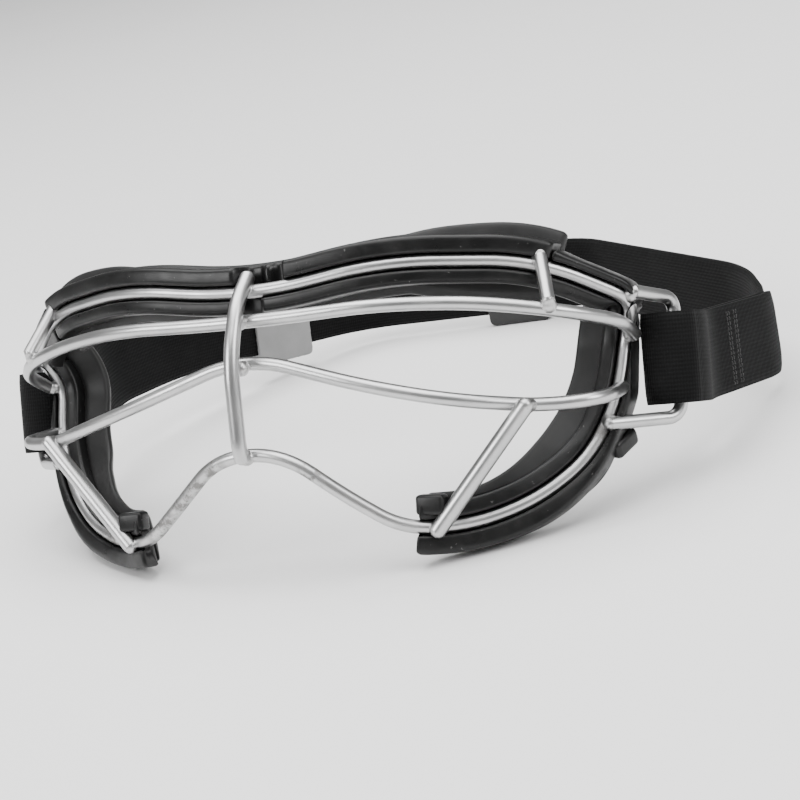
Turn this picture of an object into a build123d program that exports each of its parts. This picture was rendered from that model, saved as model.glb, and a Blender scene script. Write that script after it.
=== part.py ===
from build123d import *
from math import cos, pi, radians, sin, tan
import os

# Sports protective goggles: a welded wire eye cage with rubber face pads and an elastic head strap.
# Millimetres. The wearer looks along -Y, +X is the wearer's left, +Z is up, and the goggles lie on a
# table the way they rest when put down. ORIGIN is the row's origin, in the bend points' own axes.

# ---- driving dimensions -------------------------------------------------------------------------
ORIGIN = (2.156, 76.752, 0.0625)
ROD_DIA = 3.0             # cage wire
CENTRE_ROD_DIA = 3.4      # the heavier wire over the nose
LOWER_STRUT_DIA = 3.7
BEAD_DIA = 3.9            # weld beads at the crossings
REST_PITCH = 20.0         # the face plane leans this much when the goggles lie on a table
BEND_SHARE = 0.47         # part of the shorter neighbouring run that a bend may use
STRAP_WIDTH = 20.0
STRAP_THICK = 1.6
STRAP_GAP = 0.3           # between the two layers of a sewn strap end
TAB_LENGTH = 55.0         # sewn end, folded back along the strap
LOOP_HALF = 13.0          # half the height of a strap loop
FOLD_SIDE = 5.6           # the webbing goes loosely round the loop: half the distance between its layers
FOLD_FRONT = 4.0          # and how far its fold stands in front of them
STRAP_CLEARANCE = 0.9     # room left in the cheek pads round the strap's fold
SLIDER_LENGTH = 18.0
SLIDER_HEIGHT = 26.0
SLIDER_DEPTH = 5.0
SLIDER_OUTER_BAR = 4.0
SLIDER_PLAY = 0.35        # between the webbing and each bar
SLIDER_CORNER = 2.0

# Rubber channel that clips over the rim wire, measured from the wire's centre.
GROOVE_HALF = 1.7
LIP_FRONT = -2.0
WEB_BACK = 4.0
BROW_INNER_LIP = 4.9
BROW_OUTER_LIP = 5.7
CHEEK_INNER_LIP = 5.3
CHEEK_SIDE_LIP = 3.6
CHEEK_OUTER_LIP = 6.0

UPPER_NOTCH = (-1.6, 8.8)  # the gaps in the brow pad's lips, from and to in X
LOWER_NOTCH = (-2.2, 3.0)
NOTCH_REACH = 12.0
NOTCH_WEB = 0.6           # rubber left behind a gap
SEAM_X = 63.5             # where the brow pad meets the cheek pads
SEAM_GAP = 0.3
CHEEK_NOSE_X = 34.5       # nose end of the cheek pads
CUSHION_BACK = 7.5
BROW_CUSHION_REACH = 6.5  # inward and outward of the wire
BROW_WING_PLACE = 0.74    # the cushion widens near the temples: where, as a share of its half length
BROW_WING_SPREAD = 0.28
BROW_WING_INNER = 2.5
BROW_WING_OUTER = 2.0
FLANGE_FRONT = 1.2        # the cheek cushion's flange lies inside the channel and reaches this far forward
FLANGE_REACH = 1.8        # past the channel, at the nose
FLANGE_SIDE_REACH = 4.7   # and this much more beside the eye
CUSHION_NOSE_THIN = 1.5
CUSHION_LEAD = 0.08       # how near the temple corner the cheek cushions begin
NUB = (4.4, 6.5, 4.0)     # raised end of a cheek pad's inner lip: inward, along, back
NUB_PLACE = (4.9, -1.0)   # its middle, inward and back of the wire
LUG_FROM = (70.8, 24.5, 12.2)
LUG_TO = (73.6, 31.5, 13.6)  # a lug at the outer lip's upper end points back
LUG_SIZE = (3.2, 4.2)

BACK = Vector(0, cos(radians(REST_PITCH)), -sin(radians(REST_PITCH)))
UP = Vector(0, sin(radians(REST_PITCH)), cos(radians(REST_PITCH)))
FACE = Plane(origin=(0, 0, 0), x_dir=(1, 0, 0), z_dir=-BACK)

# Bend points of the cage wires, right-hand half.
RIM_HALF = [
    (8, 11.5, 61), (32.5, 14.5, 63.5), (61.5, 27, 56.5), (77.5, 37, 42.5), (74, 39.5, 34.5),
    (72.5, 30.5, 23), (67, 21.5, 13), (57, 11.5, 8), (45, 3.5, 6.5), (32, -4.5, 9.5),
    (21.5, -6, 18), (8, -6, 29.5),
]
TEMPLE = 3                # index of the temple corner in RIM_HALF
UPPER_BAR_HALF = [
    (10.5, 6, 56), (31.5, 7, 56.5), (50.5, 13, 53), (67, 19, 47.5), (76.5, 29.5, 40.5), (76.5, 37, 34.5),
]
LOWER_BAR_HALF = [
    (5.5, 2.5, 47.5), (28, 0, 41), (46, 2, 35.5), (62, 12, 29), (74.5, 16.5, 28), (73.9, 30, 25),
]
CENTRE_BAR = [(0, 13, 64), (0, 5, 60.2), (0, -3.5, 50.5), (0, -9, 33), (0, -9.1, 29.6)]
TOP_STRUT = [(62.2, 27.8, 57.6), (65.8, 17.8, 50)]
BEAD_TOP_STRUT = (65.5, 18.4, 48.9)
BEAD_LOWER_STRUT = (60, 9.1, 30.4)
BEAD_LOWER_STRUT_END = (38.4, -1.7, 8)
BEAD_LOOP_LOW = (71, 25.8, 18.8)
BEAD_LOOP_HIGH = (77.5, 36.5, 43.6)
BEAD_UPPER_BAR = (75.6, 37, 34.6)
BEAD_LOWER_BAR = (73.2, 30.5, 24.4)
BEAD_BROW = (0, 11.4, 61.6)
BEAD_UPPER = (0, 4.2, 56.4)
BEAD_LOWER = (0, 0.4, 47.2)
BEAD_NOSE = (0, -7.2, 29.4)
LOWER_STRUT = [(60, 7.6, 31), (38.4, -2.8, 8)]

# Strap loops: the upright that the webbing goes round, and where each leg meets the rim.
LOOP_MIDDLE = Vector(84, 40, 27.3)
FOLD_MIDDLE = Vector(82.6, 40, 27.3)
LOOP_LOWER_END = Vector(71.4, 24.4, 19)
LOOP_UPPER_END = Vector(78.5, 36, 44.5)
LOOP_RADII = [3.5, 3.0]
LOOP_ROOM = 0.8           # how much wider than the wire a pad is cut where a loop passes

# Middle line of the strap, from the right loop round the back to the left loop.
STRAP_POINTS = [
    (77, 40, 27.3), (83, 58, 20.8), (92, 90, 14), (82, 114, 14), (22, 163, 12.8),
    (-48, 156, 14.1), (-79, 106, 22.5), (-85, 73, 25.5), (-78, 55, 22.5), (-77, 40, 27.3),
]
STRAP_TANGENTS = [8, 7, 11, 10, 12, 16, 9, 7]
BACK_SLIDER_RUN = (4, 5, 0.3)    # between these strap points, and how far along
SIDE_SLIDER_RUN = (5, 6, 0.46)
RIGHT_LEAN_LENGTH = 70.0  # the strap's lean fades out over this length from the right loop
LEFT_LEAN_LENGTH = 40.0
TACK_PLACE = 32.0         # the sewn seam, measured back from the loop
STRUT_NOTCH = 3.0         # the pads are cut away round the top of each strut
SLIDER_SLOT = 21.2        # height of the slot that the webbing runs in
TAB_BLEND = 26.0          # the two layers of a sewn end come together over this length
TACK_ROW = (1.2, 0.5)     # width and height of a row of sewing
TACK_PITCH = 4.0          # between the two rows
TACK_SUNK = 0.05
BROW_STEPS = 48
CHEEK_STEPS = 60
STRAP_STEPS = 60
TAB_STEPS = 10
FOLD_STEPS = 8
NOSE_STEPS = 400
WIDE = 200


# ---- helpers ------------------------------------------------------------------------------------
def mirrored(points):
    return [(-x, y, z) for x, y, z in reversed(points)]


def turn_at(before, corner, after):
    first = Vector(*corner) - Vector(*before)
    second = Vector(*after) - Vector(*corner)
    return radians(first.get_angle(second))


def bend_radii(points, tangents=None):
    """One radius for each inner point, from the tangent length that its neighbouring runs allow."""
    radii = []
    for i in range(1, len(points) - 1):
        run_in = (Vector(*points[i]) - Vector(*points[i - 1])).length
        run_out = (Vector(*points[i + 1]) - Vector(*points[i])).length
        tangent = BEND_SHARE * min(run_in, run_out)
        if tangents:
            tangent = min(tangent, tangents[i - 1])
        radii.append(tangent / tan(turn_at(points[i - 1], points[i], points[i + 1]) / 2))
    return radii


def bent_path(points, tangents=None):
    return FilletPolyline(*points, radius=bend_radii(points, tangents))


def rod(path, diameter=ROD_DIA):
    start = Plane(origin=path @ 0, z_dir=path % 0)
    return sweep(start * Circle(diameter / 2), path=path)


def between(a, b, share):
    return Vector(*a) + (Vector(*b) - Vector(*a)) * share


RIM = RIM_HALF + mirrored(RIM_HALF)


def rim_path(first, last, lead_in=0.5, lead_out=0.5):
    """The rim's wire line over bend points first to last, with its ends on the runs beside them."""
    count = len(RIM)
    ring = [RIM[i % count] for i in range(first - 1, last + 2)]
    radii = bend_radii(ring)
    start = between(ring[0], ring[1], lead_in)
    end = between(ring[-2], ring[-1], lead_out)
    return FilletPolyline(start, *ring[1:-1], end, radius=radii)


def section_plane(path, share):
    """A plane across the path at a share of its length: x points inward, y back towards the wearer."""
    along = path % share
    level = (along - BACK * along.dot(BACK)).normalized()
    return Plane(origin=path @ share, x_dir=BACK.cross(level), z_dir=level)


def skinned(path, outline_at, steps):
    """A solid through outlines of (inward, backward) points placed at even steps along the path."""
    sections = []
    for k in range(steps + 1):
        outline = make_face(Polyline(*outline_at(k / steps), close=True))
        sections.append(section_plane(path, k / steps) * outline)
    return loft(sections, ruled=True)


def face_box(x0, x1, v0, v1, b0, b1):
    """A box in the face plane's directions: across, up the face, and back towards the wearer."""
    box = Box(x1 - x0, v1 - v0, b1 - b0)
    return FACE * Pos((x0 + x1) / 2, (v0 + v1) / 2, -(b0 + b1) / 2) * box


def both_sides(name, right):
    return {name + "_right": right, name + "_left": mirror(right, about=Plane.YZ)}


# ---- the cage -----------------------------------------------------------------------------------
def cage_wires():
    count = len(RIM_HALF)
    wires = {
        "brow_wire": rod(rim_path(-TEMPLE, TEMPLE - 1)),
        "lower_rim_wire": rod(rim_path(TEMPLE, 2 * count - 1 - TEMPLE)),
        "upper_eye_bar": rod(bent_path(mirrored(UPPER_BAR_HALF) + UPPER_BAR_HALF)),
        "lower_eye_bar": rod(bent_path(mirrored(LOWER_BAR_HALF) + LOWER_BAR_HALF)),
        "centre_bar": rod(bent_path(CENTRE_BAR), CENTRE_ROD_DIA),
    }
    wires.update(both_sides("top_strut", rod(Line(*TOP_STRUT))))
    wires.update(both_sides("lower_strut", rod(Line(*LOWER_STRUT), LOWER_STRUT_DIA)))
    return wires


def strap_loop(diameter=ROD_DIA):
    bottom = LOOP_MIDDLE - UP * LOOP_HALF
    top = LOOP_MIDDLE + UP * LOOP_HALF
    points = [tuple(p) for p in (LOOP_LOWER_END, bottom, top, LOOP_UPPER_END)]
    return rod(FilletPolyline(*points, radius=LOOP_RADII), diameter)


# ---- rubber pads --------------------------------------------------------------------------------
def channel_outline(inner, outer):
    return [
        (-outer, LIP_FRONT), (-GROOVE_HALF, LIP_FRONT), (-GROOVE_HALF, GROOVE_HALF),
        (GROOVE_HALF, GROOVE_HALF), (GROOVE_HALF, LIP_FRONT), (inner, LIP_FRONT),
        (inner, WEB_BACK), (-outer, WEB_BACK),
    ]


def brow_path():
    return rim_path(-TEMPLE, TEMPLE - 1)


def lip_notch(span, side):
    """The space of a gap in one of the brow pad's lips: side is 1 for the upper lip, -1 for the lower."""
    middle = brow_path() @ 0.5
    v = middle.dot(UP)
    back = middle.dot(BACK) + WEB_BACK - NOTCH_WEB
    start = v - GROOVE_HALF * side
    end = v + NOTCH_REACH * side
    return face_box(*span, min(start, end), max(start, end), back - NOTCH_REACH, back)


def brow_pad():
    outline = channel_outline(BROW_INNER_LIP, BROW_OUTER_LIP)
    pad = skinned(brow_path(), lambda share: outline, BROW_STEPS)
    pad -= lip_notch(UPPER_NOTCH, 1)
    pad -= lip_notch(LOWER_NOTCH, -1)
    x, y, z = TOP_STRUT[0]
    for side in (-1, 1):
        pad -= Pos(side * x, y, z) * Sphere(STRUT_NOTCH)
    return trimmed(pad, -SEAM_X, SEAM_X)


def brow_cushion_outline(share):
    wing = max(0, 1 - ((abs(2 * share - 1) - BROW_WING_PLACE) / BROW_WING_SPREAD) ** 2)
    inner = BROW_CUSHION_REACH + BROW_WING_INNER * wing
    outer = BROW_CUSHION_REACH + BROW_WING_OUTER * wing
    return [
        (-outer, WEB_BACK + 1.5), (-4, WEB_BACK), (inner - 2.5, WEB_BACK), (inner, WEB_BACK + 1),
        (inner, WEB_BACK + 3), (0, CUSHION_BACK), (-outer, WEB_BACK + 3.5),
    ]


def brow_cushion():
    return trimmed(skinned(brow_path(), brow_cushion_outline, BROW_STEPS), -SEAM_X, SEAM_X)


def trimmed(solid, x0, x1):
    return solid & face_box(x0, x1, -40, 120, -80, 120)


def strap_room():
    """The space that the strap's fold needs beside the rim."""
    radius = FOLD_FRONT + STRAP_THICK / 2 + STRAP_CLEARANCE
    side = FOLD_MIDDLE.X - FOLD_SIDE - STRAP_THICK / 2 - STRAP_CLEARANCE / 2
    v = FOLD_MIDDLE.dot(UP)
    b = FOLD_MIDDLE.dot(BACK)
    return face_box(side, side + 30, v - 11.3, v + 11.3, b - radius, b + 60)


def cheek_pad_outline(share):
    temple = (BROW_OUTER_LIP - CHEEK_SIDE_LIP) * (1 - smooth((share - 0.08) / 0.12))
    bottom = (CHEEK_OUTER_LIP - CHEEK_SIDE_LIP) * smooth((share - 0.5) / 0.25)
    return channel_outline(CHEEK_INNER_LIP, CHEEK_SIDE_LIP + temple + bottom)


def nub(path):
    """The raised end of the inner lip beside the nose."""
    inward, along, back = NUB
    share = nose_share(path) - along / 2 / path.length
    return section_plane(path, share) * Pos(*NUB_PLACE, 0) * Box(inward, back, along)


def nose_share(path):
    """The share of the path's length at which it reaches the nose end of the pads."""
    shares = [k / NOSE_STEPS for k in range(NOSE_STEPS // 2, NOSE_STEPS + 1)]
    return min(shares, key=lambda share: abs((path @ share).X - CHEEK_NOSE_X))


def lug():
    start = Vector(*LUG_FROM)
    run = Vector(*LUG_TO) - start
    plane = Plane(origin=start + run / 2, x_dir=(1, 0, 0), z_dir=run)
    return plane * Box(*LUG_SIZE, run.length)


def cheek_pad():
    path = rim_path(TEMPLE - 1, 9)
    pad = trimmed(skinned(path, cheek_pad_outline, CHEEK_STEPS) + lug(), CHEEK_NOSE_X, WIDE)
    pad -= face_box(0, SEAM_X + SEAM_GAP, 50, 90, -60, 60)
    pad += nub(path)
    pad -= Pos(*TOP_STRUT[0]) * Sphere(STRUT_NOTCH)
    pad -= rod(Line(*LOWER_STRUT), LOWER_STRUT_DIA)
    pad -= strap_loop(ROD_DIA + LOOP_ROOM)
    return pad - strap_room()


def cheek_cushion_outline(share):
    inner = CHEEK_INNER_LIP + FLANGE_REACH + FLANGE_SIDE_REACH * (1 - smooth((share - 0.36) / 0.42))
    outer = 1 + 4 * smooth((share - 0.24) / 0.25)
    back = CUSHION_BACK - CUSHION_NOSE_THIN * smooth((share - 0.15) / 0.85)
    return [
        (-outer, WEB_BACK), (CHEEK_INNER_LIP, WEB_BACK), (CHEEK_INNER_LIP, FLANGE_FRONT),
        (inner, FLANGE_FRONT), (inner + 0.4, 3), (inner - 1.2, 5.2), (0, back), (-outer, WEB_BACK + 1.5),
    ]


def cheek_cushion():
    path = rim_path(TEMPLE + 1, 9, CUSHION_LEAD)
    cushion = trimmed(skinned(path, cheek_cushion_outline, CHEEK_STEPS), CHEEK_NOSE_X, WIDE)
    return cushion - strap_room()


# ---- strap --------------------------------------------------------------------------------------
def smooth(share):
    share = min(max(share, 0.0), 1.0)
    return share * share * (3 - 2 * share)


def strap_station(path, distance):
    """Middle point, direction and across-the-webbing direction at a distance along the strap."""
    length = path.length
    share = distance / length
    along = (path % share).normalized()
    lean = 1 - smooth(distance / RIGHT_LEAN_LENGTH) + 1 - smooth((length - distance) / LEFT_LEAN_LENGTH)
    across = UP * lean + Vector(0, 0, 1) * (1 - lean)
    across = (across - along * across.dot(along)).normalized()
    return path @ share, along, across


def strap_middle_line():
    return bent_path(STRAP_POINTS, STRAP_TANGENTS)


def strap_tab(path, side):
    """Stations of one sewn end and of the fold round its loop. side is 1 on the right, -1 on the left."""
    stations = []
    pitch = STRAP_THICK + STRAP_GAP
    for k in range(TAB_STEPS, -1, -1):
        run = TAB_LENGTH * k / TAB_STEPS
        distance = run if side == 1 else path.length - run
        point, along, across = strap_station(path, distance)
        blend = smooth(run / TAB_BLEND)
        outward = (Vector(side, 0, 0) * (1 - blend) + along.cross(across) * blend).normalized()
        spread = 2 * FOLD_SIDE + (pitch - 2 * FOLD_SIDE) * blend
        stations.append((point + outward * spread, along, across))
    middle = Vector(side * FOLD_MIDDLE.X, FOLD_MIDDLE.Y, FOLD_MIDDLE.Z)
    for k in range(1, FOLD_STEPS):
        angle = pi * k / FOLD_STEPS
        along = Vector(-side * FOLD_SIDE * sin(angle), 0, 0) - BACK * FOLD_FRONT * cos(angle)
        offset = Vector(side * FOLD_SIDE * cos(angle), 0, 0) - BACK * FOLD_FRONT * sin(angle)
        stations.append((middle + offset, along.normalized() * -side, UP))
    return stations


def strap_band():
    path = strap_middle_line()
    stations = [(point, -along, across) for point, along, across in strap_tab(path, 1)]
    stations += [strap_station(path, path.length * k / STRAP_STEPS) for k in range(STRAP_STEPS + 1)]
    stations += [(point, -along, across) for point, along, across in reversed(strap_tab(path, -1))]
    sections = []
    for point, along, across in stations:
        plane = Plane(origin=point, x_dir=across, z_dir=along)
        sections.append(plane * Rectangle(STRAP_WIDTH, STRAP_THICK))
    return loft(sections, ruled=True)


def bar_tack(side):
    """The sewn seam that closes a strap end, standing on its outer layer."""
    path = strap_middle_line()
    distance = TACK_PLACE if side == 1 else path.length - TACK_PLACE
    point, along, across = strap_station(path, distance)
    outward = along.cross(across).normalized()
    plane = Plane(
        origin=point + outward * (STRAP_THICK * 1.5 + STRAP_GAP - TACK_SUNK), x_dir=across, z_dir=outward)
    width, height = TACK_ROW
    row = Box(STRAP_WIDTH - TACK_PITCH, width, height)
    link = Box(width, TACK_PITCH, height)
    rows = Pos(0, -TACK_PITCH / 2, height / 2) * row + Pos(0, TACK_PITCH / 2, height / 2) * row
    return plane * (rows + Pos(0, 0, height / 2) * link)


def slider(first, second, share):
    """A slider: a plate on the head's side of the webbing, two rails and one bar outside it."""
    start = Vector(*STRAP_POINTS[first])
    end = Vector(*STRAP_POINTS[second])
    along = (end - start).normalized()
    across = (Vector(0, 0, 1) - along * along.Z).normalized()
    plane = Plane(origin=start + (end - start) * share, x_dir=across, z_dir=along)
    rail_width = (SLIDER_HEIGHT - SLIDER_SLOT) / 2
    rail_place = (SLIDER_SLOT + rail_width) / 2
    bar_thick = (SLIDER_DEPTH - STRAP_THICK) / 2 - SLIDER_PLAY
    bar_place = (SLIDER_DEPTH - bar_thick) / 2
    body = Pos(0, bar_place, 0) * Box(SLIDER_HEIGHT, bar_thick, SLIDER_OUTER_BAR)
    body += Pos(0, -bar_place, 0) * Box(SLIDER_HEIGHT, bar_thick, SLIDER_LENGTH)
    for side in (-1, 1):
        body += Pos(side * rail_place, 0, 0) * Box(rail_width, SLIDER_DEPTH, SLIDER_LENGTH)
    corners = body.edges().filter_by(Axis.Y).sort_by(lambda e: -abs(e.center().X) - abs(e.center().Z))
    return plane * fillet(corners[:4], SLIDER_CORNER)


def weld_beads():
    """A small bead of weld metal at each crossing of two wires."""
    right = [
        TOP_STRUT[0], BEAD_TOP_STRUT, BEAD_LOWER_STRUT, BEAD_LOWER_STRUT_END, BEAD_LOOP_LOW, BEAD_LOOP_HIGH,
        BEAD_UPPER_BAR, BEAD_LOWER_BAR,
    ]
    middle = [BEAD_BROW, BEAD_UPPER, BEAD_LOWER, BEAD_NOSE]
    places = right + mirrored(right) + middle
    return Compound([Pos(*place) * Sphere(BEAD_DIA / 2) for place in places])


parts = cage_wires()
parts.update(both_sides("strap_loop", strap_loop()))
parts["brow_pad"] = brow_pad()
parts["brow_cushion"] = brow_cushion()
parts.update(both_sides("cheek_pad", cheek_pad()))
parts.update(both_sides("cheek_cushion", cheek_cushion()))
parts["strap_band"] = strap_band()
parts["strap_stitching"] = Compound([bar_tack(1), bar_tack(-1)])
parts["weld_beads"] = weld_beads()
parts["back_slider"] = slider(*BACK_SLIDER_RUN)
parts["side_slider"] = slider(*SIDE_SLIDER_RUN)

os.makedirs("parts", exist_ok=True)
for name, shape in parts.items():
    export_step(Pos(*(-Vector(*ORIGIN))) * shape, "parts/" + name + ".step")
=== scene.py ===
import math
import bmesh
import bpy
from mathutils import Matrix, Vector


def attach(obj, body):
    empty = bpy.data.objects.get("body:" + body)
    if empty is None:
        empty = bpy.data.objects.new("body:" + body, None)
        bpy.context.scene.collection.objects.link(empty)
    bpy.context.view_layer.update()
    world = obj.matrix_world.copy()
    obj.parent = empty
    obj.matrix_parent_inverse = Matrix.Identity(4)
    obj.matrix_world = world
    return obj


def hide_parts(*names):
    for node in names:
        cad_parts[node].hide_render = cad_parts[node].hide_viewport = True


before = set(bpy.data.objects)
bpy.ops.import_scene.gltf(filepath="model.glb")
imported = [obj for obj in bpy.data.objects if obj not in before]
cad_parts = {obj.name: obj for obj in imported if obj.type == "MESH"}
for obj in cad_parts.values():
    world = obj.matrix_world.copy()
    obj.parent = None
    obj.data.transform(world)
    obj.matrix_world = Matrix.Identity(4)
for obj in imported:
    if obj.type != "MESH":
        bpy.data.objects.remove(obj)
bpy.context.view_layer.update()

# ---- places and sizes, in millimetres until place() turns them into metres of the row's frame ----
MM = 0.001
ORIGIN = Vector((2.156, 76.752, 0.0625))    # the row's origin, measured in the bend points' own axes
REST_PITCH = math.radians(20)
BACK = Vector((0, math.cos(REST_PITCH), -math.sin(REST_PITCH)))
UP = Vector((0, math.sin(REST_PITCH), math.cos(REST_PITCH)))
BEND_SHARE = 0.47                           # a bend takes this share of the shorter run beside it
ROD = 1.5                                   # wire radius
CENTRE_ROD = 1.7
LOWER_STRUT_ROD = 1.85
ARC_STEPS = 14                              # points in each bend
SECTION_REACH = 2.0                         # a section's direction is read this far each way

# bend points of the wires, right-hand half
RIM_HALF = [
    (8, 11.5, 61), (32.5, 14.5, 63.5), (61.5, 27, 56.5), (77.5, 37, 42.5), (74, 39.5, 34.5),
    (72.5, 30.5, 23), (67, 21.5, 13), (57, 11.5, 8), (45, 3.5, 6.5), (32, -4.5, 9.5),
    (21.5, -6, 18), (8, -6, 29.5),
]
TEMPLE = 3                                  # index of the temple corner in RIM_HALF
UPPER_BAR_HALF = [
    (10.5, 6, 56), (31.5, 7, 56.5), (50.5, 13, 53), (67, 19, 47.5), (76.5, 29.5, 40.5), (76.5, 37, 34.5),
]
LOWER_BAR_HALF = [
    (5.5, 2.5, 47.5), (28, 0, 41), (46, 2, 35.5), (62, 12, 29), (74.5, 16.5, 28), (73.9, 30, 25),
]
CENTRE_BAR = [(0, 13, 64), (0, 5, 60.2), (0, -3.5, 50.5), (0, -9, 33), (0, -9.1, 29.6)]
TOP_STRUT = [(62.2, 27.8, 57.6), (65.8, 17.8, 50)]
LOWER_STRUT = [(60, 7.6, 31), (38.4, -2.8, 8)]
# strap loops: the upright that the webbing goes round, and where each leg meets the rim
LOOP_MIDDLE = Vector((84, 40, 27.3))
LOOP_HALF = 13.0
LOOP_LOWER_END = (71.4, 24.4, 19)
LOOP_UPPER_END = (78.5, 36, 44.5)
LOOP_RADII = (3.5, 3.0)
BEAD = 1.75                                 # radius of a weld bead
WELD_REACH = 5.0                            # the metal runs this far along each wire
WELD_PITCH = 0.6
WELD_SWELL = 1.06                           # its radius at the bead, in wire radii
WELD_TAPER = 0.30                           # and how much less it is at the end
WELD_VOXEL = 0.3
WELD_ROUNDS = 9
SIDE_BEADS = [
    TOP_STRUT[0], (65.5, 18.4, 48.9), (60, 9.1, 30.4), (38.4, -1.7, 8), (71, 25.8, 18.8), (77.5, 36.5, 43.6),
    (75.6, 37, 34.6), (73.2, 30.5, 24.4),
]
MIDDLE_BEADS = [(0, 11.4, 61.6), (0, 4.2, 56.4), (0, 0.4, 47.2), (0, -7.2, 29.4)]

# pads and cushions, measured inward, outward and back from the wire's middle
GROOVE_HALF = 1.7
LIP_FRONT = -2.0
WEB_BACK = 4.0
BROW_INNER_LIP = 4.9
BROW_OUTER_LIP = 5.7
CHEEK_INNER_LIP = 5.3
CHEEK_SIDE_LIP = 3.6
CHEEK_OUTER_LIP = 6.0
CUSHION_BACK = 7.5
PAD_CAP = 0.9                               # length of a pad's rounded end
CUSHION_CAP = 1.2
UPPER_NOTCH = (-1.6, 8.8)                   # the gaps in the brow pad's lips, in X
LOWER_NOTCH = (-2.2, 3.0)
NOTCH_POST = (3.4, 5.8)                     # a low post left standing in the upper one
NOTCH_POST_RISE = 2.4
NOTCH_BACK = 3.0
NOTCH_EDGE = 0.9
BROW_CUSHION_REACH = 6.5
BROW_WING_PLACE = 0.74                      # the cushion widens near the temples
BROW_WING_SPREAD = 0.28
BROW_WING_INNER = 2.5
BROW_WING_OUTER = 2.0
FLANGE_REACH = 1.8                          # of a cheek cushion past its pad, at the nose
FLANGE_SIDE_REACH = 4.7                     # and this much more beside the eye
CUSHION_NOSE_THIN = 1.5
CUSHION_EDGE = (1, 4)                       # its outer reach at the temple, and how much more below
# how the cheek pads change along their line: from this share of it, and over this share
TEMPLE_FADE = (0.08, 0.12)
BOTTOM_FADE = (0.5, 0.25)
FLANGE_FADE = (0.36, 0.42)
EDGE_FADE = (0.24, 0.25)
THIN_FADE = (0.15, 0.85)
NUB = (4.4, 4.0, 6.5)                       # raised end of a cheek pad: inward, back, along
NUB_PLACE = (4.9, -1.0)
NUB_ROUND = 0.9
LUG_FROM = (70.8, 24.5, 12.2)
LUG_TO = (73.6, 31.5, 13.6)
LUG_SIZE = (3.2, 4.2)
LUG_ROUND = 1.2
SEAM_X = 63.5                               # where the brow pad meets the cheek pads
SEAM_GAP = 0.3
CUSHION_LEAD = 0.08                         # how near the temple corner the cheek cushions begin
CHEEK_NOSE_X = 34.5                         # nose end of the cheek pads

STRAP_WIDTH = 20.0
STRAP_THICK = 1.6
STRAP_GAP = 0.3                             # between the two layers of a sewn end
STRAP_STEPS = 240
STRAP_RIBS = 10
EDGE_THIN = 0.3                             # the webbing thins towards its edges
EDGE_POWER = 8
TAB_LENGTH = 55.0
TAB_BLEND = 26.0                            # the two layers come together over this length
TAB_CORNER = 3.0                            # corner radius of the cut end
TAB_CORNER_RUNS = (0, 0.15, 0.5, 1.0, 1.6, 2.3, 3.0)
TAB_STEPS = 34
TACK_PLACE = 32.0                           # the sewn seam, measured back from the loop
TACK_ROWS = (-2.0, -1.0, 1.0, 2.0)
TACK_STITCHES = 15
TACK_PITCH = 1.15
TACK_SLANT = 0.35
STITCH_SIZE = (0.5, 0.24, 0.2)
FOLD_SIDE = 5.6
FOLD_FRONT = 4.0
FOLD_STEPS = 24
FOLD_ROOM = 0.6
FOLD_HEIGHT = 10.5                          # the pads leave room for the fold this far above and below
FOLD_FADE = 2.0                             # its middle, and past that they stand further out by
FOLD_EASE = 3.0                             # FOLD_EASE over a length of FOLD_FADE
FOLD_MIDDLE = Vector((82.6, 40, 27.3))
# middle line of the strap, from the right loop round the back to the left loop
STRAP_POINTS = [
    (77, 40, 27.3), (83, 58, 20.8), (92, 90, 14), (82, 114, 14), (22, 163, 12.8),
    (-48, 156, 14.1), (-79, 106, 22.5), (-85, 73, 25.5), (-78, 55, 22.5), (-77, 40, 27.3),
]
STRAP_TANGENTS = [8, 7, 11, 10, 12, 16, 9, 7]
RIGHT_LEAN_LENGTH = 70.0                    # the strap's lean fades out over this length
LEFT_LEAN_LENGTH = 40.0
BACK_SLIDER_RUN = (4, 5, 0.3)               # between these strap points, and how far along
SIDE_SLIDER_RUN = (5, 6, 0.46)
SLIDER_LENGTH = 18.0
SLIDER_HEIGHT = 26.0
SLIDER_DEPTH = 5.0
SLIDER_SLOT = 21.2
SLIDER_OUTER_BAR = 4.0
SLIDER_CORNER = 2.0
SLIDER_PLAY = 0.35                          # between a bar and the webbing
SLIDER_VOXEL = 0.3
SLIDER_ROUNDS = 5


def place(point):
    """A point of the bend points' axes, in metres of the row's frame."""
    return (Vector(point) - ORIGIN) * MM


def smooth(share):
    """0 to 1, with a level start and end."""
    share = min(max(share, 0.0), 1.0)
    return share * share * (3 - 2 * share)


def fade(share, start, over):
    """0 up to a start, rising to 1 over a length."""
    return smooth((share - start) / over)


def mirrored(points):
    return [(-x, y, z) for x, y, z in reversed(points)]


RIM = RIM_HALF + mirrored(RIM_HALF)


# ---- lines: straight runs joined by arcs --------------------------------------------------------
def arc_points(before, corner, after, tangent):
    corner = Vector(corner)
    into = (corner - Vector(before)).normalized()
    out = (Vector(after) - corner).normalized()
    turn = into.angle(out)
    radius = tangent / math.tan(turn / 2)
    side = (out - into * out.dot(into)).normalized()
    centre = corner - into * tangent + side * radius
    points = []
    for k in range(ARC_STEPS + 1):
        angle = turn * k / ARC_STEPS
        points.append(centre - side * radius * math.cos(angle) + into * radius * math.sin(angle))
    return points


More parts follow.
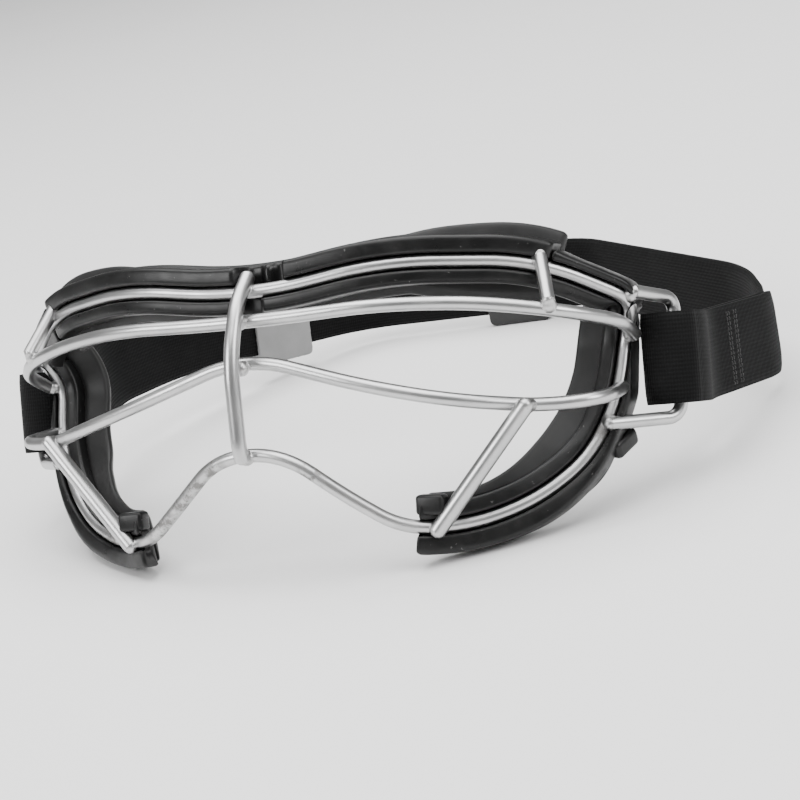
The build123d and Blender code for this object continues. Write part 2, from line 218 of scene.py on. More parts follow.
class Line:
    """A line in millimetres with an arc at each inner corner, read by the distance along it."""

    def __init__(self, points, tangents=()):
        self.points = [Vector(points[0])]
        for i in range(1, len(points) - 1):
            self.points += arc_points(points[i - 1], points[i], points[i + 1], tangents[i - 1])
        self.points.append(Vector(points[-1]))
        self.marks = [0.0]
        for a, b in zip(self.points, self.points[1:]):
            self.marks.append(self.marks[-1] + (b - a).length)
        self.length = self.marks[-1]

    def point(self, distance):
        distance = min(max(distance, 0.0), self.length)
        low, high = 0, len(self.marks) - 1
        while high - low > 1:
            middle = (low + high) // 2
            if self.marks[middle] <= distance:
                low = middle
            else:
                high = middle
        run = self.marks[high] - self.marks[low]
        return self.points[low].lerp(self.points[high], (distance - self.marks[low]) / run if run else 0)

    def along(self, distance, reach=0.5):
        return (self.point(distance + reach) - self.point(distance - reach)).normalized()

    def at_x(self, x, last=False):
        """The distance along the line at which its X passes a value, for the first or the last time."""
        step = 0.25
        places = [step * k for k in range(int(self.length / step))
                  if (self.point(step * k).x - x) * (self.point(step * (k + 1)).x - x) <= 0]
        return places[-1] if last else places[0]


def bend_tangents(points, limits=None):
    tangents = []
    for i in range(1, len(points) - 1):
        run_in = (Vector(points[i]) - Vector(points[i - 1])).length
        run_out = (Vector(points[i + 1]) - Vector(points[i])).length
        tangent = BEND_SHARE * min(run_in, run_out)
        tangents.append(min(tangent, limits[i - 1]) if limits else tangent)
    return tangents


def bent_line(points, limits=None):
    return Line(points, bend_tangents(points, limits))


def rim_line(first, last, lead_in=0.5):
    """The rim's wire over bend points first to last, with its ends on the runs beside them."""
    ring = [Vector(RIM[i % len(RIM)]) for i in range(first - 1, last + 2)]
    tangents = bend_tangents(ring)
    start = ring[0].lerp(ring[1], lead_in)
    end = ring[-2].lerp(ring[-1], 0.5)
    return Line([start] + ring[1:-1] + [end], tangents)


def loop_line(side):
    bottom = LOOP_MIDDLE - UP * LOOP_HALF
    top = LOOP_MIDDLE + UP * LOOP_HALF
    points = [Vector(LOOP_LOWER_END), bottom, top, Vector(LOOP_UPPER_END)]
    tangents = []
    for i in (1, 2):
        turn = (points[i] - points[i - 1]).angle(points[i + 1] - points[i])
        tangents.append(LOOP_RADII[i - 1] * math.tan(turn / 2))
    return Line([(side * p.x, p.y, p.z) for p in points], tangents)


def both(points):
    return [points, [(-x, y, z) for x, y, z in points]]


RODS = [
    (rim_line(-TEMPLE, TEMPLE - 1), ROD),
    (rim_line(TEMPLE, 2 * len(RIM_HALF) - 1 - TEMPLE), ROD),
    (bent_line(mirrored(UPPER_BAR_HALF) + UPPER_BAR_HALF), ROD),
    (bent_line(mirrored(LOWER_BAR_HALF) + LOWER_BAR_HALF), ROD),
    (bent_line(CENTRE_BAR), CENTRE_ROD),
    (loop_line(1), ROD),
    (loop_line(-1), ROD),
]
RODS += [(Line(points), ROD) for points in both(TOP_STRUT)]
RODS += [(Line(points), LOWER_STRUT_ROD) for points in both(LOWER_STRUT)]


# ---- meshes -------------------------------------------------------------------------------------
def smooth_shaded(mesh):
    mesh.polygons.foreach_set("use_smooth", [True] * len(mesh.polygons))


def linked(name, data):
    """A new object in the scene, from a mesh, a light or a camera."""
    piece = bpy.data.objects.new(name, data)
    bpy.context.scene.collection.objects.link(piece)
    return piece


def piece_from(work, name):
    """A new object from a bmesh, which is freed."""
    mesh = bpy.data.meshes.new(name)
    work.to_mesh(mesh)
    work.free()
    return linked(name, mesh)


def mesh_piece(name, points, faces, uvs=None):
    mesh = bpy.data.meshes.new(name)
    mesh.from_pydata([tuple(p) for p in points], [], faces)
    if uvs:
        layer = mesh.uv_layers.new(name="UVMap")
        for loop in mesh.loops:
            layer.data[loop.index].uv = uvs[loop.vertex_index]
    smooth_shaded(mesh)
    mesh.update()
    return linked(name, mesh)


def skin(rings):
    """Points and faces of a closed tube through rings of points, its two ends filled."""
    count = len(rings[0])
    points = [p for ring in rings for p in ring]
    faces = []
    for i in range(len(rings) - 1):
        for j in range(count):
            a = i * count + j
            b = i * count + (j + 1) % count
            faces.append((a, b, b + count, a + count))
    faces.append(tuple(reversed(range(count))))
    faces.append(tuple(range(len(points) - count, len(points))))
    return points, faces


def apply_modifiers(piece):
    bpy.context.view_layer.update()
    depsgraph = bpy.context.evaluated_depsgraph_get()
    mesh = bpy.data.meshes.new_from_object(piece.evaluated_get(depsgraph))
    piece.modifiers.clear()
    old = piece.data
    piece.data = mesh
    mesh.name = piece.name
    bpy.data.meshes.remove(old)
    smooth_shaded(mesh)
    return piece


def subdivided(piece):
    modifier = piece.modifiers.new("subdivide", "SUBSURF")
    modifier.levels = 1
    modifier.render_levels = 1
    return apply_modifiers(piece)


def fused(piece, voxel, rounds):
    """The piece's overlapping bodies made one skin, with its edges and inner corners rounded."""
    remesh = piece.modifiers.new("fuse", "REMESH")
    remesh.mode = "VOXEL"
    remesh.voxel_size = voxel * MM
    round_off = piece.modifiers.new("round", "SMOOTH")
    round_off.factor = 0.5
    round_off.iterations = rounds
    return apply_modifiers(piece)


CORNER_STEPS = 3


def rounded(outline):
    """An outline of (inward, back, corner radius) with its corners rounded."""
    result = []
    count = len(outline)
    for i, (x, y, radius) in enumerate(outline):
        corner = Vector((x, y))
        before = Vector(outline[i - 1][:2]) - corner
        after = Vector(outline[(i + 1) % count][:2]) - corner
        start = corner + before.normalized() * min(radius, before.length * 0.45)
        end = corner + after.normalized() * min(radius, after.length * 0.45)
        for k in range(CORNER_STEPS + 1):
            t = k / CORNER_STEPS
            result.append(start.lerp(corner, t).lerp(corner.lerp(end, t), t))
    return result


def inset(outline, amount):
    """An outline moved inwards by an amount."""
    result = []
    for k, p in enumerate(outline):
        ahead = outline[(k + 1) % len(outline)] - outline[k - 1]
        result.append(p + Vector((-ahead.y, ahead.x)).normalized() * amount if ahead.length else p)
    return result


def axes_at(line, distance):
    """The inward direction across a line, and the direction along it square to BACK."""
    along = line.along(distance, SECTION_REACH)
    level = (along - BACK * along.dot(BACK)).normalized()
    return BACK.cross(level), level


def section(line, distance, outline):
    """An outline put across a line: its x points inward and its y back towards the wearer."""
    inward, _ = axes_at(line, distance)
    origin = line.point(distance)
    return [origin + inward * p.x + BACK * p.y for p in outline]


END_ROUNDING = [(0.9, 0.0), (0.5, 0.12), (0.22, 0.38), (0.06, 0.72)]   # inset and run, shares of a cap


SKIN_STEP = 0.9                             # between the rings of a skinned pad


def skinned(name, line, start, end, outline_at, cap, adjust=None):
    """A pad along a line from start to end, its ends rounded off over the cap length."""
    rings = []
    for amount, run in END_ROUNDING:
        outline = inset(rounded(outline_at(start + run * cap)), amount * cap)
        rings.append(section(line, start + run * cap, outline))
    count = int((end - start - 2 * cap) / SKIN_STEP)
    for k in range(count + 1):
        distance = start + cap + (end - start - 2 * cap) * k / count
        rings.append(section(line, distance, rounded(outline_at(distance))))
    for amount, run in reversed(END_ROUNDING):
        outline = inset(rounded(outline_at(end - run * cap)), amount * cap)
        rings.append(section(line, end - run * cap, outline))
    points, faces = skin(rings)
    if adjust:
        points = [adjust(p) for p in points]
    return mesh_piece(name, [place(p) for p in points], faces)


def mirror_piece(piece, name):
    """The left-hand twin of a right-hand piece."""
    mesh = piece.data.copy()
    mesh.name = name
    for vertex in mesh.vertices:
        vertex.co.x = -vertex.co.x - 2 * ORIGIN.x * MM
    mesh.flip_normals()
    return linked(name, mesh)


def block(name, centre, axes, size, rounding):
    """A box with well rounded edges, in the directions of three axes."""
    turn = Matrix(axes).transposed().to_4x4()
    work = bmesh.new()
    where = Matrix.Translation(place(centre)) @ turn @ Matrix.Diagonal(tuple(size) + (1,))
    bmesh.ops.create_cube(work, size=MM, matrix=where)
    piece = piece_from(work, name)
    edges = piece.modifiers.new("edges", "BEVEL")
    edges.width = rounding * MM
    edges.segments = 4
    return apply_modifiers(piece)


def merge_into(piece, *others):
    """The piece with the others' meshes added to its own."""
    work = bmesh.new()
    for one in (piece,) + others:
        work.from_mesh(one.data)
    work.to_mesh(piece.data)
    work.free()
    for one in others:
        bpy.data.objects.remove(one)
    smooth_shaded(piece.data)
    return piece


# ---- materials ----------------------------------------------------------------------------------
class Nodes:
    """A short way to write a material's node tree."""

    def __init__(self, name, **values):
        self.material = bpy.data.materials.new(name)
        self.material.use_nodes = True
        self.tree = self.material.node_tree
        self.shader = self.tree.nodes["Principled BSDF"]
        for socket, value in values.items():
            self.shader.inputs[socket.replace("_", " ")].default_value = value

    def add(self, kind, values=(), **settings):
        node = self.tree.nodes.new(kind)
        for key, value in settings.items():
            setattr(node, key, value)
        for socket, value in dict(values).items():
            if isinstance(value, bpy.types.NodeSocket):
                self.tree.links.new(value, node.inputs[socket])
            else:
                node.inputs[socket].default_value = value
        return node

    def place(self, scale=(1, 1, 1), turn=(0, 0, 0), uv=False):
        where = self.add("ShaderNodeTexCoord").outputs["UV" if uv else "Object"]
        return self.add("ShaderNodeMapping", {"Vector": where, "Scale": scale, "Rotation": turn}).outputs[0]

    def noise(self, where, scale, detail=3.0, rough=0.55):
        return self.add("ShaderNodeTexNoise", {
            "Vector": where, "Scale": scale, "Detail": detail, "Roughness": rough}).outputs["Fac"]

    def span(self, value, low, high, out_low=0.0, out_high=1.0):
        return self.add("ShaderNodeMapRange", {
            "Value": value, "From Min": low, "From Max": high, "To Min": out_low, "To Max": out_high,
        }).outputs["Result"]

    def maths(self, operation, a, b):
        return self.add("ShaderNodeMath", {0: a, 1: b}, operation=operation).outputs[0]

    def mix(self, share, a, b):
        node = self.add("ShaderNodeMix", data_type="RGBA")
        for name, value in (("Factor", share), ("A", a), ("B", b)):
            socket = [s for s in node.inputs if s.name == name and s.enabled][0]
            if isinstance(value, bpy.types.NodeSocket):
                self.tree.links.new(value, socket)
            else:
                socket.default_value = value
        return [s for s in node.outputs if s.enabled][0]

    def bump(self, height, strength, distance, below=None):
        values = {"Height": height, "Strength": strength, "Distance": distance}
        if below:
            values["Normal"] = below
        return self.add("ShaderNodeBump", values).outputs["Normal"]

    def spot(self, point, radius):
        """1 at a place in the row frame, falling to 0 at a radius in millimetres."""
        where = self.add("ShaderNodeTexCoord").outputs["Object"]
        gap = self.add("ShaderNodeVectorMath", {0: where, 1: tuple(place(point))}, operation="DISTANCE")
        return self.span(gap.outputs["Value"], 0.0, radius * MM, 1.0, 0.0)

    def link(self, value, socket):
        self.tree.links.new(value, self.shader.inputs[socket])


def grey(level, warm=0.0):
    """A grey, with a little more red and less blue where warm is above 0."""
    return (level + warm, level, level - warm, 1.0)


WORN_PLACES = [                             # where the finish is rubbed, and how far round
    ((-12, -6.5, 26), 8.0), ((-18, -6, 21), 7.0), ((-26, -5, 14), 7.0), ((-46, 4, 6.6), 8.0),
    ((14, -6, 24), 4.0), ((70, 25, 17), 4.0),
]


def steel_material():
    m = Nodes("stainless_steel", Metallic=1.0)
    where = m.place()
    cloud = m.noise(where, 70.0, 3.0)
    smudge = m.span(m.noise(where, 60.0, 5.0, 0.65), 0.54, 0.70)
    wear = None
    for point, radius in WORN_PLACES:
        one = m.spot(point, radius)
        wear = one if wear is None else m.maths("MAXIMUM", wear, one)
    patch = m.maths("MULTIPLY", m.span(wear, 0.0, 0.5), m.span(m.noise(where, 330.0, 5.0, 0.7), 0.44, 0.56))
    base = m.mix(m.span(cloud, 0.35, 0.7), grey(0.46, -0.002), grey(0.55, 0.002))
    base = m.mix(m.maths("MULTIPLY", smudge, 0.3), base, grey(0.34, 0.006))
    base = m.mix(m.maths("MULTIPLY", patch, 0.85), base, grey(0.17, 0.006))
    m.link(base, "Base Color")
    rough = m.span(cloud, 0.3, 0.75, 0.30, 0.35)
    rough = m.maths("ADD", rough, m.maths("MULTIPLY", smudge, 0.10))
    rough = m.maths("ADD", rough, m.maths("MULTIPLY", patch, 0.25))
    m.link(rough, "Roughness")
    m.link(m.bump(m.noise(where, 260.0, 2.0, 0.5), 0.04, 0.0003), "Normal")
    return m.material


def weld_material():
    m = Nodes("weld_steel", Metallic=1.0)
    where = m.place()
    cloud = m.noise(where, 420.0, 4.0)
    m.link(m.mix(m.span(cloud, 0.35, 0.7), grey(0.42, 0.004), grey(0.58, 0.0)), "Base Color")
    m.link(m.span(m.noise(where, 900.0), 0.3, 0.75, 0.32, 0.42), "Roughness")
    m.link(m.bump(m.noise(where, 600.0, 2.0, 0.5), 0.05, 0.0001), "Normal")
    return m.material


def rubber_material():
    m = Nodes("pad_rubber", Specular_IOR_Level=0.3)
    where = m.place()
    cloud = m.noise(where, 55.0, 4.0)
    fine = m.noise(where, 2600.0, 2.0, 0.6)
    base = m.mix(m.span(cloud, 0.3, 0.72), grey(0.0035), grey(0.008))
    dust = m.maths("MULTIPLY", m.span(m.noise(where, 1100.0, 2.0, 0.5), 0.71, 0.76), 0.45)
    film = m.maths("MULTIPLY", m.span(m.noise(where, 160.0, 6.0, 0.7), 0.54, 0.74), 0.05)
    base = m.mix(m.maths("MAXIMUM", dust, film), base, grey(0.16, 0.003))
    m.link(base, "Base Color")
    m.link(m.maths("ADD", m.span(m.noise(where, 240.0, 5.0), 0.3, 0.72, 0.26, 0.44), film), "Roughness")
    low = m.bump(fine, 0.10, 0.00006)
    m.link(m.bump(m.noise(where, 380.0, 3.0), 0.10, 0.0003, low), "Normal")
    return m.material


def cushion_material():
    m = Nodes("cushion_rubber", Specular_IOR_Level=0.24, Sheen_Weight=0.05, Sheen_Roughness=0.5)
    where = m.place()
    cloud = m.noise(where, 80.0, 4.0)
    m.link(m.mix(m.span(cloud, 0.3, 0.72), grey(0.010), grey(0.019)), "Base Color")
    m.link(m.span(m.noise(where, 300.0, 4.0), 0.3, 0.72, 0.36, 0.5), "Roughness")
    pores = m.add("ShaderNodeTexVoronoi", {"Vector": where, "Scale": 1800.0}).outputs["Distance"]
    low = m.bump(pores, 0.08, 0.00006)
    m.link(m.bump(m.noise(where, 260.0, 3.0), 0.10, 0.0004, low), "Normal")
    return m.material


WAVE = 0.314                                # a wave texture of scale 1 repeats at this length


def webbing_material():
    """Ribbed elastic: cords along the webbing (v) crossed by picks (u); its UVs are in metres."""
    m = Nodes("elastic_webbing", Specular_IOR_Level=0.12, Sheen_Weight=0.04, Sheen_Roughness=0.45)
    where = m.place(uv=True)
    ribs = m.add("ShaderNodeTexWave", {
        "Vector": where, "Scale": WAVE / 0.0009, "Distortion": 0.0}, bands_direction="X").outputs["Fac"]
    picks = m.add("ShaderNodeTexWave", {
        "Vector": where, "Scale": WAVE / 0.0006, "Distortion": 1.2, "Detail": 1.0,
        "Detail Scale": 1.0}, bands_direction="Y").outputs["Fac"]
    weave = m.maths("ADD", m.maths("MULTIPLY", ribs, 0.6), m.maths("MULTIPLY", picks, 0.4))
    fuzz = m.noise(m.place(), 3200.0, 3.0, 0.7)
    cloud = m.noise(m.place(), 90.0, 4.0)
    base = m.mix(m.span(weave, 0.2, 0.9), grey(0.0016), grey(0.005, -0.0002))
    base = m.mix(m.maths("MULTIPLY", m.span(fuzz, 0.55, 0.8), 0.2), base, grey(0.016, -0.0003))
    base = m.mix(m.maths("MULTIPLY", m.span(cloud, 0.45, 0.75), 0.12), base, grey(0.02))
    m.link(base, "Base Color")
    m.link(m.span(fuzz, 0.3, 0.8, 0.78, 0.95), "Roughness")
    low = m.bump(fuzz, 0.3, 0.00008)
    m.link(m.bump(weave, 0.7, 0.00018, low), "Normal")
    return m.material


def thread_material():
    m = Nodes("thread", Specular_IOR_Level=0.35, Sheen_Weight=0.3)
    where = m.place()
    twist = m.noise(where, 3800.0, 2.0)
    m.link(m.mix(m.span(twist, 0.35, 0.65), grey(0.002), grey(0.005)), "Base Color")
    m.link(m.span(twist, 0.3, 0.7, 0.55, 0.75), "Roughness")
    m.link(m.bump(twist, 0.5, 0.0001), "Normal")
    return m.material


def plastic_material(name, dark, light, rough_low, rough_high):
    m = Nodes(name, Specular_IOR_Level=0.5)
    where = m.place()
    m.link(m.mix(m.span(m.noise(where, 120.0, 4.0), 0.3, 0.72), grey(dark), grey(light)), "Base Color")
    scuff = m.noise(m.place(scale=(1.0, 6.0, 1.0), turn=(0.3, 0.5, 0.9)), 700.0, 4.0, 0.6)
    m.link(m.span(scuff, 0.3, 0.72, rough_low, rough_high), "Roughness")
    low = m.bump(m.noise(where, 2400.0, 2.0), 0.16, 0.00008)
    m.link(m.bump(scuff, 0.12, 0.00012, low), "Normal")
    return m.material


def floor_material():
    m = Nodes("floor_paper", Specular_IOR_Level=0.3)
    where = m.place()
    m.link(m.mix(m.noise(where, 6.0, 2.0), grey(0.86, 0.002), grey(0.89, 0.002)), "Base Color")
    m.link(m.span(m.noise(where, 900.0, 3.0), 0.3, 0.7, 0.62, 0.78), "Roughness")
    m.link(m.bump(m.noise(where, 1400.0, 3.0), 0.05, 0.0001), "Normal")
    return m.material


# ---- the pieces ---------------------------------------------------------------------------------
def finish_piece(piece, material, slot, body, *nodes):
    piece.data.materials.clear()
    piece.data.materials.append(material)
    if nodes:
        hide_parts(*nodes)
    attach(piece, body)
    return piece


def add_ball(work, point, radius, divisions=3):
    bmesh.ops.create_icosphere(
        work, subdivisions=divisions, radius=radius * MM, matrix=Matrix.Translation(place(point)))


def welds():
    """The weld metal at every crossing, running out thinly along each wire that meets there."""
    work = bmesh.new()
    beads = MIDDLE_BEADS + SIDE_BEADS + [(-x, y, z) for x, y, z in SIDE_BEADS]
    for bead in beads:
        bead = Vector(bead)
        add_ball(work, bead, BEAD)
        for line, radius in RODS:
            for k in range(int(line.length / WELD_PITCH) + 1):
                point = line.point(WELD_PITCH * k)
                reach = (point - bead).length
                if reach < WELD_REACH:
                    add_ball(work, point, radius * (WELD_SWELL - WELD_TAPER * smooth(reach / WELD_REACH)), 2)
    return fused(piece_from(work, "welds"), WELD_VOXEL, WELD_ROUNDS)


def brow_pad():
    line = RODS[0][0]

    def gap(x, span):
        """1 between two places in X, falling to 0 past them."""
        width = 2 * NOTCH_EDGE
        return smooth((x - span[0] + NOTCH_EDGE) / width) * smooth((span[1] + NOTCH_EDGE - x) / width)

    def outline_at(distance):
        x = line.point(distance).x
        depth = NOTCH_BACK - LIP_FRONT
        upper = LIP_FRONT + depth * gap(x, UPPER_NOTCH) - NOTCH_POST_RISE * gap(x, NOTCH_POST)
        lower = LIP_FRONT + depth * gap(x, LOWER_NOTCH)
        return [
            (-BROW_OUTER_LIP, upper, 1.5), (-GROOVE_HALF, upper, 0.9),
            (-GROOVE_HALF, max(GROOVE_HALF, upper), 0.4), (GROOVE_HALF, max(GROOVE_HALF, lower), 0.5),
            (GROOVE_HALF, lower, 0.9), (BROW_INNER_LIP, lower, 1.3),
            (BROW_INNER_LIP, WEB_BACK, 0.4), (-BROW_OUTER_LIP, WEB_BACK, 0.4),
        ]
    piece = skinned("brow_pad_rubber", line, line.at_x(-SEAM_X), line.at_x(SEAM_X), outline_at, PAD_CAP)
    return subdivided(piece)


def brow_cushion():
    line = RODS[0][0]

    def outline_at(distance):
        share = distance / line.length
        wing = max(0, 1 - ((abs(2 * share - 1) - BROW_WING_PLACE) / BROW_WING_SPREAD) ** 2)
        inner = BROW_CUSHION_REACH + BROW_WING_INNER * wing
        outer = BROW_CUSHION_REACH + BROW_WING_OUTER * wing
        return [
            (-outer, WEB_BACK + 1.2, 0.9), (-4, WEB_BACK - 0.1, 0.6), (inner - 2.5, WEB_BACK - 0.1, 0.6),
            (inner, WEB_BACK + 1, 1.0), (inner, WEB_BACK + 2.6, 1.1), (0, CUSHION_BACK, 4.0),
            (-outer, WEB_BACK + 3.2, 1.2),
        ]
    piece = skinned(
        "brow_cushion_foam", line, line.at_x(-SEAM_X), line.at_x(SEAM_X), outline_at, CUSHION_CAP)
    return subdivided(piece)


def clear_of_fold(point):
    """Keeps a pad's outer face clear of the webbing that goes round the strap loop."""
    height = abs(point.dot(UP) - FOLD_MIDDLE.dot(UP))
    past = fade(height, FOLD_HEIGHT, FOLD_FADE)
    limit = FOLD_MIDDLE.x - FOLD_SIDE - STRAP_THICK / 2 - FOLD_ROOM + FOLD_EASE * past
    return Vector((min(point.x, limit), point.y, point.z))


def cheek_pad():
    line = rim_line(TEMPLE - 1, 9)

    def outline_at(distance):
        share = distance / line.length
        temple = (BROW_OUTER_LIP - CHEEK_SIDE_LIP) * (1 - fade(share, *TEMPLE_FADE))
        bottom = (CHEEK_OUTER_LIP - CHEEK_SIDE_LIP) * fade(share, *BOTTOM_FADE)
        outer = CHEEK_SIDE_LIP + temple + bottom
        return [
            (-outer, LIP_FRONT, 1.5), (-GROOVE_HALF, LIP_FRONT, 0.9), (-GROOVE_HALF, GROOVE_HALF, 0.5),
            (GROOVE_HALF, GROOVE_HALF, 0.5), (GROOVE_HALF, LIP_FRONT, 0.9),
            (CHEEK_INNER_LIP, LIP_FRONT, 1.3), (CHEEK_INNER_LIP, WEB_BACK, 0.4), (-outer, WEB_BACK, 0.4),
        ]
    end = line.at_x(CHEEK_NOSE_X, last=True)
    piece = skinned("cheek_pad_rubber_right", line, line.at_x(SEAM_X + SEAM_GAP), end,
                    outline_at, PAD_CAP, adjust=clear_of_fold)
    nub_place = end - NUB[2] / 2
    inward, level = axes_at(line, nub_place)
    nub_middle = line.point(nub_place) + inward * NUB_PLACE[0] + BACK * NUB_PLACE[1]
    nub = block("nub", nub_middle, (inward, BACK, level), NUB, NUB_ROUND)
    lug_from, lug_to = Vector(LUG_FROM), Vector(LUG_TO)
    lug_along = (lug_to - lug_from).normalized()
    lug_side = (Vector((1, 0, 0)) - lug_along * lug_along.x).normalized()
    lug = block("lug", lug_from.lerp(lug_to, 0.5), (lug_side, lug_along.cross(lug_side), lug_along),
                (*LUG_SIZE, (lug_to - lug_from).length), LUG_ROUND)
    return merge_into(subdivided(piece), nub, lug)


def cheek_cushion():
    line = rim_line(TEMPLE + 1, 9, CUSHION_LEAD)

    def outline_at(distance):
        share = distance / line.length
        side = 1 - fade(share, *FLANGE_FADE)
        inner = CHEEK_INNER_LIP + FLANGE_SIDE_REACH * side + FLANGE_REACH
        outer = CUSHION_EDGE[0] + CUSHION_EDGE[1] * fade(share, *EDGE_FADE)
        back = CUSHION_BACK - CUSHION_NOSE_THIN * fade(share, *THIN_FADE)
        return [
            (-outer, WEB_BACK - 0.1, 0.5), (CHEEK_INNER_LIP - 0.1, WEB_BACK - 0.1, 0.3),
            (CHEEK_INNER_LIP - 0.1, 1.2, 0.4), (inner, 1.3, 0.9), (inner + 0.3, 3, 1.0),
            (inner - 1.2, 5.1, 1.2), (0, back, 3.0), (-outer, WEB_BACK + 1.4, 0.7),
        ]
    end = line.at_x(CHEEK_NOSE_X, last=True)
    piece = skinned(
        "cheek_cushion_foam_right", line, 0.2, end, outline_at, CUSHION_CAP, adjust=clear_of_fold)
    return subdivided(piece)


def strap_station(line, distance):
    """A point on the strap's middle line, the direction along it and the direction across the webbing."""
    along = line.along(distance)
    lean = 1 - smooth(distance / RIGHT_LEAN_LENGTH) + 1 - smooth((line.length - distance) / LEFT_LEAN_LENGTH)
    across = UP * lean + Vector((0, 0, 1)) * (1 - lean)
    across = (across - along * across.dot(along)).normalized()
    return line.point(distance), along, across


def tab_stations(line, side):
    """Stations of one sewn end and of its fold round the loop; side is 1 on the right, -1 on the left."""
    stations = []
    pitch = STRAP_THICK + STRAP_GAP
    runs = [TAB_LENGTH - edge for edge in TAB_CORNER_RUNS]
    runs += [(TAB_LENGTH - TAB_CORNER - 1) * k / TAB_STEPS for k in range(TAB_STEPS, -1, -1)]
    for run in runs:
        distance = run if side == 1 else line.length - run
        point, along, across = strap_station(line, distance)
        blend = smooth(run / TAB_BLEND)
        outward = (Vector((side, 0, 0)) * (1 - blend) + along.cross(across) * blend).normalized()
        spread = 2 * FOLD_SIDE + (pitch - 2 * FOLD_SIDE) * blend
        end = max(0.0, TAB_CORNER - (TAB_LENGTH - run))
        width = STRAP_WIDTH / 2 - (TAB_CORNER - math.sqrt(TAB_CORNER * TAB_CORNER - end * end))
        stations.append((point + outward * spread, -along * side, across, width))
    middle = Vector((side * FOLD_MIDDLE.x, FOLD_MIDDLE.y, FOLD_MIDDLE.z))
    for k in range(1, FOLD_STEPS):
        angle = math.pi * k / FOLD_STEPS
        along = Vector((-side * FOLD_SIDE * math.sin(angle), 0, 0)) - BACK * FOLD_FRONT * math.cos(angle)
        offset = Vector((side * FOLD_SIDE * math.cos(angle), 0, 0)) - BACK * FOLD_FRONT * math.sin(angle)
        stations.append((middle + offset, along.normalized(), UP, STRAP_WIDTH / 2))
    return stations


def strap():
    """The webbing in one piece: the right sewn end, the way round the back, and the left sewn end."""
    line = bent_line(STRAP_POINTS, STRAP_TANGENTS)
    stations = tab_stations(line, 1)
    for k in range(STRAP_STEPS + 1):
        point, along, across = strap_station(line, line.length * k / STRAP_STEPS)
        stations.append((point, along, across, STRAP_WIDTH / 2))
    for point, along, across, width in reversed(tab_stations(line, -1)):
        stations.append((point, -along, across, width))
    rings = []
    uvs = []
    run = 0.0
    before = None
    for point, along, across, width in stations:
        if before:
            run += (point - before).length
        before = point
        normal = across.cross(along).normalized()
        ring = []
        for face in (1, -1):
            for k in range(STRAP_RIBS + 1):
                share = face * (1 - 2 * k / STRAP_RIBS)
                edge = abs(share) ** EDGE_POWER
                half = STRAP_THICK / 2 * (1 - EDGE_THIN * edge)
                ring.append(point + across * width * share + normal * face * half)
                uvs.append((width * share * MM, run * MM))
        rings.append(ring)
    points, faces = skin(rings)
    return mesh_piece("strap_webbing", [place(p) for p in points], faces, uvs)


def stitches():
    """Bar tacks: rows of short stitches across each sewn end."""
    line = bent_line(STRAP_POINTS, STRAP_TANGENTS)
    shape = Matrix.Diagonal((*STITCH_SIZE, 1))
    work = bmesh.new()
    for side in (1, -1):
        distance = TACK_PLACE if side == 1 else line.length - TACK_PLACE
        point, along, across = strap_station(line, distance)
        outward = along.cross(across).normalized()
        face = point + outward * (STRAP_THICK * 1.5 + STRAP_GAP)
        turn = Matrix((across, along, outward)).transposed().to_4x4()
        for row in TACK_ROWS:
            for k in range(TACK_STITCHES):
                shift = across * TACK_PITCH * (k - (TACK_STITCHES - 1) / 2) + along * row
                slant = Matrix.Rotation(math.copysign(TACK_SLANT, row), 4, "Z")
                where = Matrix.Translation(place(face + shift)) @ turn @ slant @ shape
                bmesh.ops.create_icosphere(work, subdivisions=2, radius=MM, matrix=where)
    piece = piece_from(work, "strap_stitches")
    smooth_shaded(piece.data)
    return piece


def slider(name, first, second, share):
    """A slider: two rails, a full plate inside the webbing and one bar outside it, all rounded over."""
    start = Vector(STRAP_POINTS[first])
    end = Vector(STRAP_POINTS[second])
    along = (end - start).normalized()
    across = (Vector((0, 0, 1)) - along * along.z).normalized()
    normal = along.cross(across).normalized()
    centre = start.lerp(end, share)
    turn = Matrix((across, normal, along)).transposed().to_4x4()
    rail = (SLIDER_HEIGHT - SLIDER_SLOT) / 2
    bar = (SLIDER_DEPTH - STRAP_THICK) / 2 - SLIDER_PLAY
    bar_y = (SLIDER_DEPTH - bar) / 2
    boxes = [((x * (SLIDER_SLOT + rail) / 2, 0, 0), (rail, SLIDER_DEPTH, SLIDER_LENGTH)) for x in (-1, 1)]
    boxes.append(((0, -bar_y, 0), (SLIDER_HEIGHT, bar, SLIDER_LENGTH)))
    boxes.append(((0, bar_y, 0), (SLIDER_HEIGHT, bar, SLIDER_OUTER_BAR)))
    work = bmesh.new()
    for offset, size in boxes:
        where = Matrix.Translation(place(centre)) @ turn @ Matrix.Translation(Vector(offset) * MM)
        bmesh.ops.create_cube(work, size=MM, matrix=where @ Matrix.Diagonal(size + (1,)))
    piece = fused(piece_from(work, name), SLIDER_VOXEL, SLIDER_ROUNDS)
    for vertex in piece.data.vertices:
        offset = vertex.co - place(centre)
        x, z = offset.dot(across) / MM, offset.dot(along) / MM
        over = Vector((max(abs(x) - SLIDER_HEIGHT / 2 + SLIDER_CORNER, 0),
                       max(abs(z) - SLIDER_LENGTH / 2 + SLIDER_CORNER, 0)))
        if over.x and over.y and over.length > SLIDER_CORNER:
            pull = over * (1 - SLIDER_CORNER / over.length)
            vertex.co -= (across * math.copysign(pull.x, x) + along * math.copysign(pull.y, z)) * MM
    return piece


steel = steel_material()
rubber = rubber_material()
foam = cushion_material()
CAGE_NODES = [
    "brow_wire", "lower_rim_wire", "upper_eye_bar", "lower_eye_bar", "centre_bar", "top_strut_left",
    "top_strut_right", "lower_strut_left", "lower_strut_right", "strap_loop_left", "strap_loop_right",
]
for name in CAGE_NODES:
    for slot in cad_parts[name].material_slots:
        slot.material = steel

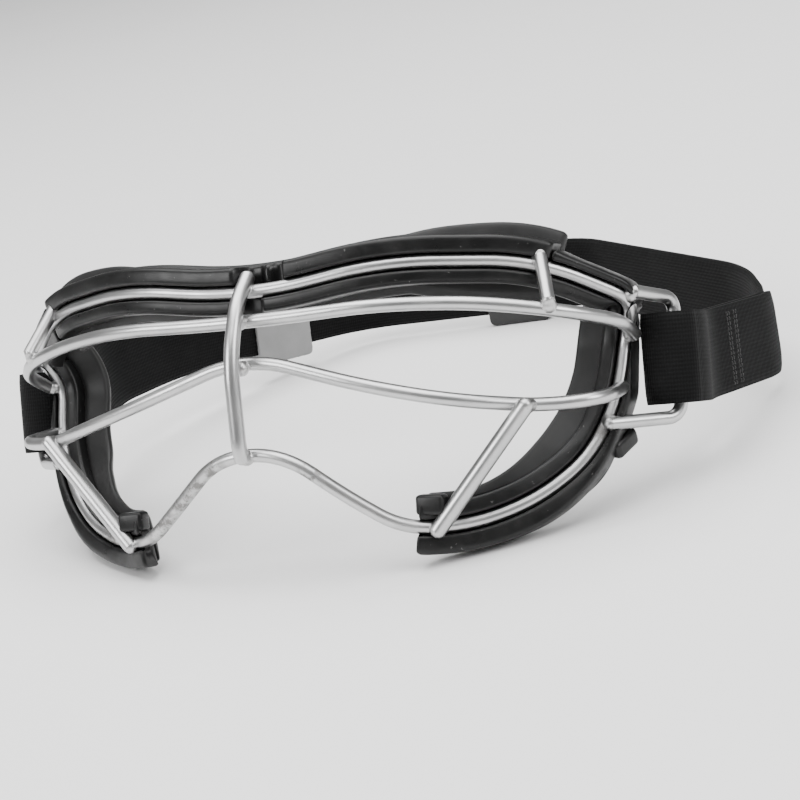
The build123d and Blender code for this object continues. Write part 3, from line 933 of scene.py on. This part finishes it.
finish_piece(welds(), weld_material(), "cage_steel", "frame", "weld_beads")
finish_piece(brow_pad(), rubber, "pad_rubber", "frame", "brow_pad")
finish_piece(brow_cushion(), foam, "cushion_rubber", "frame", "brow_cushion")
right_pad = cheek_pad()
left_pad = mirror_piece(right_pad, "cheek_pad_rubber_left")
finish_piece(right_pad, rubber, "pad_rubber", "frame", "cheek_pad_right")
finish_piece(left_pad, rubber, "pad_rubber", "frame", "cheek_pad_left")
right_cushion = cheek_cushion()
left_cushion = mirror_piece(right_cushion, "cheek_cushion_foam_left")
finish_piece(right_cushion, foam, "cushion_rubber", "frame", "cheek_cushion_right")
finish_piece(left_cushion, foam, "cushion_rubber", "frame", "cheek_cushion_left")
finish_piece(strap(), webbing_material(), "strap_webbing", "strap", "strap_band")
finish_piece(stitches(), thread_material(), "strap_thread", "strap", "strap_stitching")
black_plastic = plastic_material("black_plastic", 0.006, 0.011, 0.3, 0.48)
grey_plastic = plastic_material("grey_plastic", 0.20, 0.25, 0.36, 0.5)
back_slider = slider("back_slider_shell", *BACK_SLIDER_RUN)
side_slider = slider("side_slider_shell", *SIDE_SLIDER_RUN)
finish_piece(back_slider, black_plastic, "slider_black", "back_slider", "back_slider")
finish_piece(side_slider, grey_plastic, "slider_grey", "side_slider", "side_slider")


# ---- floor, lights and camera -------------------------------------------------------------------
floor = mesh_piece("floor", [(-3, -3, 0), (3, -3, 0), (3, 3, 0), (-3, 3, 0)], [(0, 1, 2, 3)])
floor.data.materials.append(floor_material())


LIGHT_AIM = (0, 0, 0.03)


def area_light(name, where, size, power):
    lamp = bpy.data.lights.new(name, "AREA")
    lamp.shape = "RECTANGLE"
    lamp.size, lamp.size_y = size
    lamp.energy = power
    holder = linked(name, lamp)
    holder.location = where
    holder.rotation_euler = (Vector(LIGHT_AIM) - Vector(where)).to_track_quat("-Z", "Y").to_euler()


area_light("overhead", (0.05, 0.05, 1.3), (1.7, 1.4), 34.0)
area_light("front_left", (-0.6, -0.8, 0.6), (0.5, 0.5), 8.0)
area_light("right", (0.9, -0.2, 0.6), (0.45, 0.5), 6.0)
sky = bpy.data.lights.new("sky", "SUN")
sky.energy = 1.3
sky.angle = math.radians(60)
linked("sky", sky).rotation_euler = (math.radians(-12), math.radians(-14), 0)
world = bpy.data.worlds.new("studio")
bpy.context.scene.world = world
world.use_nodes = True
world.node_tree.nodes["Background"].inputs["Color"].default_value = (1, 1, 1, 1)
world.node_tree.nodes["Background"].inputs["Strength"].default_value = 0.28

CAMERA_PLACE = place((212, -356.6, 167))
CAMERA_RIGHT = Vector((0.9037, 0.3666, -0.2211))
CAMERA_UP = Vector((0.0747, 0.3734, 0.9246))
CAMERA_AHEAD = Vector((-0.4215, 0.8521, -0.3101))
lens = bpy.data.cameras.new("camera")
lens.lens = 89.7
lens.sensor_width = 36
lens.clip_start = 0.01
camera = linked("camera", lens)
turn = Matrix((CAMERA_RIGHT, CAMERA_UP, -CAMERA_AHEAD)).transposed()
camera.matrix_world = Matrix.LocRotScale(CAMERA_PLACE, turn.to_quaternion(), None)
bpy.context.scene.camera = camera
